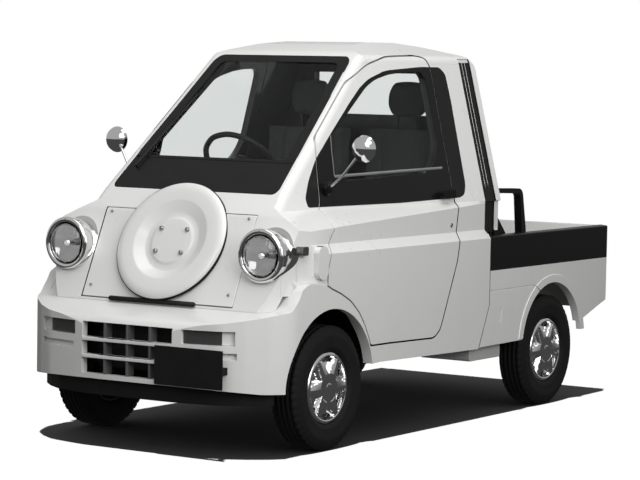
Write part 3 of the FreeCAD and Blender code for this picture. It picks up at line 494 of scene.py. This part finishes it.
# ---- Door trim and mirrors ----
# One frame per door in black enamel, which carries the handle and the mirror's rubber foot. The
# mirror's stalk and round shell are chromium plated.
PLANE = {"at": 0.7256, "taper": 0.105, "lean": 0.25}
mirror_finish = Finish("door_trim_enamel", Specular_IOR_Level=0.16)
along = mirror_finish.axis("Y") - AXLE_Y
proud = (abs(mirror_finish.axis("X")) - PLANE["at"] - PLANE["taper"] * along
         + PLANE["lean"] * mirror_finish.axis("Z"))
plate_mask = proud.above(0.026, 0.027) * (1 - along.above(0.3, 0.302))
mirror_finish.feed(Base_Color=mirror_finish.blend(plate_mask, (0.006, 0.006, 0.006), CHROME),
                   Metallic=plate_mask, Roughness=0.26 - 0.2 * plate_mask)
for side in ("left", "right"):
    dress(f"door_trim_{side}", mirror_finish.material, edge=0.0015)


def window_x(y, z):
    """The outer face of the side window plane, in millimetres from the middle."""
    return 1000 * PLANE["at"] + PLANE["taper"] * y - PLANE["lean"] * z


grey_rubber = plastic("grey_window_bead", (0.16, 0.16, 0.16), 0.35, 0.05)
SILL = ((213, 1094), (585, 1104), (952, 1113))
POST = ((213, 1094), (226, 1194), (238, 1262))
for side, sign in (("left", 1), ("right", -1)):
    for piece, line, radius in (("bead", SILL, 6.5), ("post", POST, 4)):
        run = [spot(sign * (window_x(y, z) - 3), y, z) for y, z in line]
        wire(f"window_{piece}_{side}", f"{side}_door", grey_rubber, radius, run)
    lock = finished(f"door_lock_{side}", f"{side}_door", steel_screw, stamped(
        turned([(0, 0), (10, 0), (10, 2), (8, 3.6), (3, 3.6), (2.4, 1.5), (0, 1.5)], 28),
        stand(spot(sign * 611.6, 934, 870), (sign, 0, 0))))

# ---- Rear quarter bands ----
# A rubber strip in the channel behind each door pillar, with two bright beads along it.
BAND = {"front": 1226, "back": 1301, "waist": 957, "body_side": 612, "beads": (1246, 1268),
        "heights": (826, 890, 957, 962, 1060, 1160, 1260, 1360, 1460, 1568)}
BAND_SECTION = [(BAND["front"], 9.6), (BAND["front"], 4), (BAND["front"] + 6, 2.5), (BAND["back"] - 6, 2.5),
                (BAND["back"], 4), (BAND["back"], 9.6)]


def on_band(sign, y, z, depth):
    """A place on the quarter's outer face, sunk by depth."""
    face = window_x(y, z) if z > BAND["waist"] else BAND["body_side"]
    return spot(sign * (face - depth), y, z)


for side, sign in (("left", 1), ("right", -1)):
    strip = lofted(bmesh.new(), [[on_band(sign, y, z, depth) for y, depth in BAND_SECTION]
                                 for z in BAND["heights"]])
    band = finished(f"quarter_band_{side}", "truck", satin_black, stamped(strip, Matrix()), smooth=False)
    beads = [[on_band(sign, y, z, 2.2) for z in BAND["heights"]] for y in BAND["beads"]]
    wire(f"quarter_beads_{side}", "truck", steel_screw, 1.4, *beads)


# ---- Body joint ----
# A black strip in the rubber finish lies in the gap between each cab side and the bed: painted shade that
# darkens the gap.
JOINT = ((1237.4, 850), (1237.4, 506), (1151, 322))
for side, sign in (("left", 1), ("right", -1)):
    run = [spot(sign * 635.8, y, z) for y, z in JOINT]
    wire(f"cab_bed_gap_shade_{side}", "truck", black_rubber, 2.2, run)


# ---- Glass ----
# Flat laminated and toughened panes, faintly tinted. The windscreen is bonded behind a black border.
TINT = (0.85, 0.87, 0.865)
window_glass = Finish("window_glass", Transmission_Weight=1.0, IOR=1.12, Specular_IOR_Level=0.5)
deeper_tint = tuple(part * 0.97 for part in TINT)
window_glass.feed(Base_Color=window_glass.blend(window_glass.noise(3), TINT, deeper_tint),
                  Roughness=0.001 * window_glass.noise(25))
for name in ("cab_glass", "door_glass_left", "door_glass_right"):
    dress(name, window_glass.material, flat=True)

SCREEN = {"foot": (0, -124, 1027), "rise": (0, 0.7617, 0.6479), "out": (0, -0.6479, 0.7617),
          "half": 418, "taper": 71 / 864}


def screen_spot(across, rise, lift):
    """A place on the windscreen: across, up the slope and out from the glass, in millimetres."""
    foot, slope, out = (Vector(SCREEN[key]) for key in ("foot", "rise", "out"))
    at = Vector((across, 0, 0)) + foot + slope * rise + out * lift
    return spot(*at)


def screen_ring(edge, low, high, radius, steps=8):
    """The windscreen's outline, edge millimetres inside its opening, with round corners."""
    ring = []
    for sign, rise, first in ((1, low, -90), (1, high, 0), (-1, high, 90), (-1, low, 180)):
        half = SCREEN["half"] - SCREEN["taper"] * rise - edge - radius
        inner_rise = rise + (radius if rise == low else -radius)
        for step in range(steps + 1):
            angle = math.radians(first + 90 * step / steps)
            ring.append((sign * half + radius * math.cos(angle), inner_rise + radius * math.sin(angle)))
    return ring


outer_ring = screen_ring(2, 189, 862, 42)
inner_ring = screen_ring(46, 204, 820, 34)
border = bmesh.new()
loops = [[border.verts.new(screen_spot(across, rise, lift)) for across, rise in ring]
         for ring, lift in ((outer_ring, 0.2), (outer_ring, 1.2), (inner_ring, 1.2), (inner_ring, 0.2))]
for loop_index in range(4):
    here, there = loops[loop_index], loops[(loop_index + 1) % 4]
    for index in range(len(here)):
        follow = (index + 1) % len(here)
        border.faces.new((here[index], here[follow], there[follow], there[index]))
bmesh.ops.recalc_face_normals(border, faces=border.faces)
screen_border = finished("windscreen_border", "truck", satin_black, stamped(border, Matrix()), smooth=False)

# ---- Headlamps ----
# A plated bowl with a bulb cap behind a domed, fluted glass, held by a plated rim with three screws.
dress("headlamp_rings", chrome, edge=0.003)
lamp_stand = both(stand(spot(LAMP["x"], LAMP["y"], LAMP["z"]), (0, -1, 0)))
# The bowl's plating is darkened to grey: painted shade for the dark reflections inside the lamp.
bowl = finished("headlamp_bowls", "truck", plated("lamp_bowl_painted_dark", (0.33, 0.33, 0.33)), stamped(turned(
    [(0, -26), (22, -25), (50, -18), (74, -6), (86, 4), (88, 3), (76, -8), (52, -20), (22, -27.5),
     (0, -28)], 72), *lamp_stand))
cap = finished("bulb_caps", "truck", chrome, stamped(turned(
    [(0, -24), (10, -24), (10, 2), (16, 4), (16, 9), (9, 15), (0, 17)], 32), *lamp_stand))
lens_finish = Finish("fluted_lens", Transmission_Weight=1.0, IOR=1.45, Specular_IOR_Level=0.5)
across = lens_finish.axis("X")
flutes = across.math("SINE", across * (math.tau / 0.016))
lens_finish.feed(Base_Color=lens_finish.blend(lens_finish.noise(9), (0.86, 0.86, 0.86), (0.8, 0.8, 0.8)),
                 Roughness=0.02 + 0.02 * lens_finish.noise(30), Normal=lens_finish.bump(flutes, 0.2, 0.0012))
lens = finished("headlamp_lenses_fluted", "truck", lens_finish.material, stamped(turned(
    [(0, 34), (40, 31), (68, 23.5), (85, 13), (85, 9), (67, 19.5), (39, 27), (0, 30)], 72), *lamp_stand))
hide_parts("headlamp_lenses")
rim_screws = []
for angle in (90, 215, 325):
    turn = math.radians(angle)
    place = spot(LAMP["x"] + 97 * math.cos(turn), LAMP["y"] - 20, LAMP["z"] + 97 * math.sin(turn))
    rim_screws += both(stand(place, (0, -1, 0), 0.0008))
finished("lamp_rim_screws", "truck", steel_screw, stamped(turned(SCREW, 18), *rim_screws))

# ---- Signal lamps ----
# Moulded, ribbed lenses in six places. The bumper pair is dark at its outer ends and pale within, the
# side pair is pale and the rear pair red.
lens_tint = Finish("signal_lens", Coat_Weight=0.6, Specular_IOR_Level=0.5)
rearward = lens_tint.axis("Y").above(0.5, 0.6)
ribs = lens_tint.axis("X")
bumper_end = abs(lens_tint.axis("X")).above(0.424, 0.4245) * (1 - lens_tint.axis("Z").above(0.6, 0.61))
front_tint = lens_tint.blend(bumper_end, (0.05, 0.05, 0.05), PALE)
lens_tint.feed(Base_Color=lens_tint.blend(rearward, front_tint, (0.2, 0.008, 0.008)),
               Roughness=0.1 + 0.08 * lens_tint.noise(40),
               Normal=lens_tint.bump(ribs.math("SINE", ribs * (math.tau / 0.007)), 0.35, 0.001))
dress("signal_lamps", lens_tint.material, edge=0.002)

# ---- Seats ----
# Foam pads under a woven cover, each sewn with two channels and welted at its sides. The pads lie on
# the seat box, and the head restraints stand on two steel posts.
weave = Finish("woven_seat_cover", Specular_IOR_Level=0.25)
threads = weave.node("ShaderNodeTexWave", {"Vector": weave.place(), "Scale": 260.0, "Distortion": 0.6})
cross_threads = weave.node("ShaderNodeTexWave", {"Vector": weave.place(), "Scale": 240.0, "Distortion": 0.8},
                           bands_direction="Z")
cloth_grain = threads + cross_threads
weave.feed(Base_Color=weave.blend(weave.noise(60), (0.028, 0.028, 0.029), (0.046, 0.046, 0.047)),
           Roughness=0.8 + 0.1 * weave.noise(30), Normal=weave.bump(cloth_grain, 0.5, 0.0006))
PAD = {"voxel": 0.009, "inset": 8, "smooth": 6, "swell": 0.013, "quick": 0.6, "pressure": 4, "frames": 20}
SEAM = {"deep": 0.006, "wide": 0.005}
WELT = {"high": 0.0025, "wide": 0.004, "at": (0.05, 0.95)}


def pad(name, outline, x0, x1, channels, oval=0.0):
    """A swollen pad from an outline seen from the side; oval narrows its top and bottom across the cab."""
    middle = Vector((sum(y for y, z in outline), sum(z for y, z in outline))) / len(outline)
    shape = bmesh.new()
    faces = []
    for x in (x0 + PAD["inset"], x1 - PAD["inset"]):
        ring = []
        for y, z in outline:
            away = Vector((y, z)) - middle
            pulled = middle + away * (1 - PAD["inset"] / away.length)
            ring.append(shape.verts.new(spot(x, *pulled)))
        faces.append(ring)
    shape.faces.new(faces[0])
    shape.faces.new(faces[1][::-1])
    for index in range(len(outline)):
        follow = (index + 1) % len(outline)
        shape.faces.new((faces[0][follow], faces[0][index], faces[1][index], faces[1][follow]))
    bmesh.ops.recalc_face_normals(shape, faces=shape.faces)
    mesh = bpy.data.meshes.new(name)
    shape.to_mesh(mesh)
    shape.free()
    item = bpy.data.objects.new(name, mesh)
    scene.collection.objects.link(item)
    remesh = item.modifiers.new("even", "REMESH")
    remesh.mode = "VOXEL"
    remesh.voxel_size = PAD["voxel"]
    item.modifiers.new("soft", "SMOOTH").iterations = PAD["smooth"]
    item.data = settled(item)
    across, centre = (x0 + x1) / 2000, middle.y / 1000
    tall = max(abs(z / 1000 - centre) for y, z in outline)
    for vertex in item.data.vertices:
        narrow = max(0.3, 1 - oval * abs((vertex.co.z - centre) / tall) ** 3) ** 0.5
        vertex.co.x = across + (vertex.co.x - across) * narrow
    rest = [vertex.co.copy() for vertex in item.data.vertices]
    cover = item.modifiers.new("cover", "CLOTH")
    cover.settings.use_pressure = True
    cover.settings.uniform_pressure_force = PAD["pressure"]
    cover.settings.effector_weights.gravity = 0
    cover.point_cache.frame_start, cover.point_cache.frame_end = 1, PAD["frames"]
    for frame_number in range(1, PAD["frames"] + 1):
        scene.frame_set(frame_number)
    worked = item.evaluated_get(bpy.context.evaluated_depsgraph_get())
    swollen = [vertex.co.copy() for vertex in worked.data.vertices]
    item.modifiers.clear()
    scene.frame_set(1)
    for vertex, start, end in zip(item.data.vertices, rest, swollen):
        move = end - start
        reach = min(move.length, PAD["swell"])
        vertex.co = start + (move.normalized() * reach if move.length else move)
    item.modifiers.new("fine", "SUBSURF").levels = 1
    item.data = settled(item)
    left, wide = x0 / 1000, (x1 - x0) / 1000
    outward = [vertex.normal.copy() for vertex in item.data.vertices]
    for vertex, normal in zip(item.data.vertices, outward):
        share = (vertex.co.x - left) / wide
        sunk = sum(math.exp(-(((share - at) * wide) / SEAM["wide"]) ** 2) for at in channels)
        raised = sum(math.exp(-(((share - at) * wide) / WELT["wide"]) ** 2) for at in WELT["at"])
        vertex.co += normal * (WELT["high"] * raised - SEAM["deep"] * sunk)
    item.data.materials.append(weave.material)
    for polygon in item.data.polygons:
        polygon.use_smooth = True
    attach(item, "truck")
    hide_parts("seats")
    return item


def settled(item):
    """The item's mesh with its modifiers worked in, and none left on it."""
    bpy.context.view_layer.update()
    worked = item.evaluated_get(bpy.context.evaluated_depsgraph_get())
    mesh = bpy.data.meshes.new_from_object(worked)
    item.modifiers.clear()
    return mesh


post_runs = []
for seat, x0, x1, back_at, lean in (("driver", -410, 20, 940, 40), ("passenger", 75, 475, 1000, 45)):
    pad(f"{seat}_cushion", [(back_at - 458, 604), (back_at - 4, 604), (back_at - 4, 700), (back_at - 440, 710),
                            (back_at - 472, 690)], x0, x1, (0.27, 0.73))
    pad(f"{seat}_squab", [(back_at + 8, 604), (back_at + 92, 604), (back_at + 92 + lean, 1288),
                          (back_at + 22 + lean, 1288), (back_at + 8, 800)], x0, x1, (0.27, 0.73))
    middle = (x0 + x1) / 2
    pad(f"{seat}_headrest", [(back_at + 28 + lean, 1322), (back_at + 92 + lean, 1322),
                             (back_at + 96 + lean, 1484), (back_at + 42 + lean, 1484)],
        middle - 98, middle + 98, (), oval=0.75)
    post_runs += [[spot(middle + x, back_at + 60 + lean, z) for z in (1270, 1350)] for x in (-50, 50)]
posts = wire("headrest_posts", "truck", satin_black, 6, *post_runs)
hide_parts("seats")

# ---- Steering wheel ----
# A moulded rim on a steel ring, with a two-arm boss bolted to the column.
WHEEL = {"x": -170, "y": 478, "z": 1108, "radius": 178, "tilt": 50}
axis = Vector((0, math.sin(math.radians(WHEEL["tilt"])), math.cos(math.radians(WHEEL["tilt"]))))
wheel_stand = stand(spot(WHEEL["x"], WHEEL["y"], WHEEL["z"]), axis)
grip = [(WHEEL["radius"] + 12.5 * math.cos(math.tau * step / 14), 12.5 * math.sin(math.tau * step / 14))
        for step in range(14)]
rim = finished("steering_grip", "steering", grained_black, stamped(turned(
    grip, 96, lambda step, radius, height: 0.7 * math.cos(math.tau * step / 8)), wheel_stand))
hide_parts("steering_wheel")
boss = finished("steering_boss", "steering", grained_black, stamped(turned(
    [(0, -14), (38, -14), (48, -4), (50, 8), (44, 20), (20, 25), (0, 26)], 40), wheel_stand))
ARM = ((34, 26, 4), (80, 20, 3), (130, 16, 1), (174, 18, 0))
arms = bmesh.new()
for sign in (-1, 1):
    rows = []
    for reach, width, lift in ARM:
        section = ((-width, 0), (-width * 0.7, 5), (width * 0.7, 5), (width, 0), (width * 0.7, -5),
                   (-width * 0.7, -5))
        rows.append([(sign * reach, y - 14, z + lift) for y, z in section])
    lofted(arms, rows)
spokes = finished("steering_arms", "steering", grained_black, stamped(arms, wheel_stand))

# ---- Chassis ----
# Folded and welded steel sections under black chassis paint, with cast axle and engine parts.
chassis_black = plastic("chassis_paint", (0.012, 0.012, 0.012), 0.5, 0.1)
for name in ("frame_rails", "rear_axle", "front_suspension", "engine", "knuckle_left", "knuckle_right",
             "door_hinges", "tow_eyes", "exhaust"):
    dress(name, chassis_black)
tub = Finish("cab_floor_paint", Specular_IOR_Level=0.16)
shown = abs(tub.axis("X")).above(0.578, 0.579) * tub.axis("Z").above(0.66, 0.662)
tub.feed(Base_Color=tub.blend(shown, (0.012, 0.012, 0.012), PALE), Roughness=0.5 + 0.1 * tub.noise(30))
dress("cab_floor", tub.material)
dress("fuel_tank", paint("tank_paint", (0.55, 0.55, 0.54)), edge=0.004)

# ---- Road wheels ----
# Pressed wheels under plated six-window covers, with radial tyres. The tread has four ribs, and its
# shoulders are cut across into blocks.
TREAD = {"radius": 253.4, "crown": 0.0005, "cut": 4.8, "shoulder": 34.5, "floor": 240, "steps": 240,
         "pitch": 5}
half_profile = [(147, 50), (152, 55), (163, 60), (166, 61.5), (169, 61.5), (190, 64.5), (205, 65.4),
                (209, 65.9), (213, 65.4), (232, 61), (243, 55.5), (250, 51)]
tread = [(-50, 0), (-35, 0), (-34, 6), (-31, 6), (-30, 0), (-14, 0), (-13, 6), (-9, 6), (-8, 0), (8, 0),
         (9, 6), (13, 6), (14, 0), (30, 0), (31, 6), (34, 6), (35, 0), (50, 0)]
profile = [(radius, -height) for radius, height in half_profile]
profile += [(TREAD["radius"] - cut - TREAD["crown"] * height * height, height) for height, cut in tread]
profile += half_profile[::-1]


def blocks(step, radius, height):
    """The shoulders drop at every cross cut."""
    shoulder = abs(height) > TREAD["shoulder"] and radius > TREAD["floor"]
    return -TREAD["cut"] if shoulder and step % TREAD["pitch"] == 0 else 0


FACE = [(0, 60), (16, 60), (20, 59), (24, 59), (40, 59), (56, 58.5), (60, 58), (66, 57.6), (72, 57.2),
        (78, 56.8), (84, 56.4), (90, 56), (96, 55.6), (102, 55.2), (105, 55), (107, 54.8), (113, 54.4),
        (119, 54), (124, 53.6), (126, 53.4), (130, 54.6), (134, 55.6), (139, 55), (143, 53), (146, 50)]
BARREL = [(146, 46), (140, 42), (140, -42), (146, -46), (146, -50), (140, -50), (134, -44), (134, 14), (50, 10),
          (50, -20), (13.3, -20), (13.3, 40), (0, 40)]
WINDOWS = {"count": 6, "inner": 106, "outer": 125, "floor": 20, "steps": 216}
PETAL = {"first": 58, "last": 128, "front": 50.2, "half": 29, "narrows": 12 / 70, "crown": 2.4,
         "valley": 15, "wall": 1.1, "fall": 0.06}


def petals(step, radius, height):
    """Six petals run from the hub to the rim; a valley sinks between each pair, to a window at its end."""
    if height < PETAL["front"] or not PETAL["first"] <= radius <= PETAL["last"]:
        return 0
    turn = math.tau * step / WINDOWS["steps"]
    pitch = math.tau / WINDOWS["count"]
    across = radius * abs(math.sin((turn + pitch / 2) % pitch - pitch / 2))
    out = radius - PETAL["first"]
    half = PETAL["half"] - PETAL["narrows"] * out
    if across < half:
        return PETAL["crown"] * (1 - across / half)
    if WINDOWS["inner"] <= radius <= WINDOWS["outer"] and across > half + 8:
        return WINDOWS["floor"] - height
    return -min(PETAL["valley"], PETAL["wall"] * (across - half)) - PETAL["fall"] * out


cover_chrome = Finish("wheel_cover_chrome")
# Only the faces furthest out are plated. The rest, including the floors of the six window pockets, is
# near-black and matt: painted shade where the real cover is open.
bright = abs(cover_chrome.axis("X")).above(0.566, 0.572)
cover_chrome.feed(Base_Color=cover_chrome.blend(bright, (0.02, 0.02, 0.02), (0.7, 0.7, 0.7)), Metallic=bright,
                  Roughness=0.5 - 0.38 * bright + 0.05 * cover_chrome.noise(50))
rubber = plastic("tyre_rubber", (0.006, 0.006, 0.006), 0.62, 0.25)
for end in ("front", "rear"):
    for side, sign in (("left", 1), ("right", -1)):
        low, high = (Vector(corner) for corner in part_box(f"tyre_{end}_{side}"))
        hub_stand = stand((low + high) / 2, (sign, 0, 0))
        cover = finished(f"wheel_and_cover_{end}_{side}", f"road_{end}_{side}", cover_chrome.material,
                         stamped(turned(FACE + BARREL, WINDOWS["steps"], lift=petals), hub_stand), smooth=False)
        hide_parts(f"wheel_{end}_{side}")
        tyre = finished(f"treaded_tyre_{end}_{side}", f"road_{end}_{side}", rubber,
                        stamped(turned(profile, TREAD["steps"], blocks), hub_stand))
        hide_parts(f"tyre_{end}_{side}")


# ---- Studio ----
# A seamless pale floor and three broad soft lamps on the truck. A hard lamp lights the floor alone.
def lamp(name, size, power, at, target=(0, 0, 0.7)):
    data = bpy.data.lights.new(name, "AREA")
    data.shape = "RECTANGLE"
    data.size, data.size_y = size
    data.energy = power
    item = bpy.data.objects.new(name, data)
    item.location = at
    item.rotation_euler = (Vector(target) - Vector(at)).to_track_quat("-Z", "Y").to_euler()
    scene.collection.objects.link(item)
    return item


soft_lamps = [lamp("top", (4, 6), 166, (1.4, -1.6, 4.8)), lamp("key", (3, 3), 95, (1.6, -7, 4)),
              lamp("side", (4, 2.5), 170, (6, -2.8, 2.6))]

world = bpy.data.worlds.new("studio")
scene.world = world
world.use_nodes = True
sky = world.node_tree
background = sky.nodes["Background"]
background.inputs["Color"].default_value = (1, 1, 1, 1)
paths = sky.nodes.new("ShaderNodeLightPath")
seen = Value(sky, paths.outputs["Is Camera Ray"]) + Value(sky, paths.outputs["Is Transmission Ray"])
seen = seen + 0.3 * Value(sky, paths.outputs["Is Glossy Ray"])
strength = 0.25 + 0.75 * seen.math("MINIMUM", seen, 1.0)
sky.links.new(strength.socket, background.inputs["Strength"])

# White paper floor. A hard lamp from straight above lights the paper alone, so the truck throws one
# sharp shadow, and the paper fades into the backdrop beyond it.
floor_finish = Finish("paper_floor", Base_Color=(0.25, 0.25, 0.25, 1), Roughness=0.95,
                      Specular_IOR_Level=0)
distance = floor_finish.node("ShaderNodeVectorMath", {0: floor_finish.place()}, output="Value",
                             operation="LENGTH")
glow = floor_finish.node("ShaderNodeEmission", {"Color": (1, 1, 1, 1), "Strength": 1.0})
far = floor_finish.node("ShaderNodeMixShader", {0: distance.above(2.6, 4.2),
                                                1: Value(floor_finish.tree, floor_finish.shader.outputs[0]),
                                                2: glow})
dim = floor_finish.node("ShaderNodeEmission", {"Color": (1, 1, 1, 1), "Strength": 0.07})
straight = floor_finish.node("ShaderNodeLightPath", output="Is Camera Ray")
straight = straight + floor_finish.node("ShaderNodeLightPath", output="Is Transmission Ray")
straight = straight.math("MINIMUM", straight, 1.0)
paper_seen = floor_finish.node("ShaderNodeMixShader", {0: straight, 1: dim, 2: far})
output = floor_finish.tree.nodes["Material Output"]
floor_finish.tree.links.new(paper_seen.socket, output.inputs["Surface"])
ground = bpy.data.meshes.new("floor")
ground.from_pydata([(-60, -60, 0), (60, -60, 0), (60, 60, 0), (-60, 60, 0)], [], [(0, 1, 2, 3)])
floor = bpy.data.objects.new("floor", ground)
scene.collection.objects.link(floor)
ground.materials.append(floor_finish.material)
sun = bpy.data.lights.new("hard_lamp", "SUN")
sun.energy = 12.5
sun.angle = math.radians(1.2)
sun_lamp = bpy.data.objects.new("hard_lamp", sun)
sun_lamp.rotation_euler = Vector((-0.1, 0.2, -1)).to_track_quat("-Z", "Y").to_euler()
scene.collection.objects.link(sun_lamp)
paper = bpy.data.collections.new("paper")
paper.objects.link(floor)
sun_lamp.light_linking.receiver_collection = paper
not_paper = bpy.data.collections.new("not_paper")
not_paper.objects.link(floor)
not_paper.collection_objects[0].light_linking.link_state = "EXCLUDE"
for item in soft_lamps:
    item.light_linking.receiver_collection = not_paper

# The camera stands well back with a long lens, a little above the bonnet.
CAMERA_AT = Vector((6.167837, -9.488033, 1.566414))
AZIMUTH, ELEVATION, ROLL = (math.radians(angle) for angle in (33.216, 4.005, 0.989))
back = Vector((math.sin(AZIMUTH) * math.cos(ELEVATION), -math.cos(AZIMUTH) * math.cos(ELEVATION),
               math.sin(ELEVATION)))
level = Vector((math.cos(AZIMUTH), math.sin(AZIMUTH), 0))
up = back.cross(level)
right = level * math.cos(ROLL) + up * math.sin(ROLL)
upright = up * math.cos(ROLL) - level * math.sin(ROLL)
camera_data = bpy.data.cameras.new("camera")
camera_data.lens = 144.0
camera_data.sensor_width = 36
camera = bpy.data.objects.new("camera", camera_data)
camera.matrix_world = Matrix.Translation(CAMERA_AT) @ Matrix((right, upright, back)).transposed().to_4x4()
bpy.context.scene.collection.objects.link(camera)
bpy.context.scene.camera = camera
bpy.context.scene.view_settings.view_transform = "Standard"
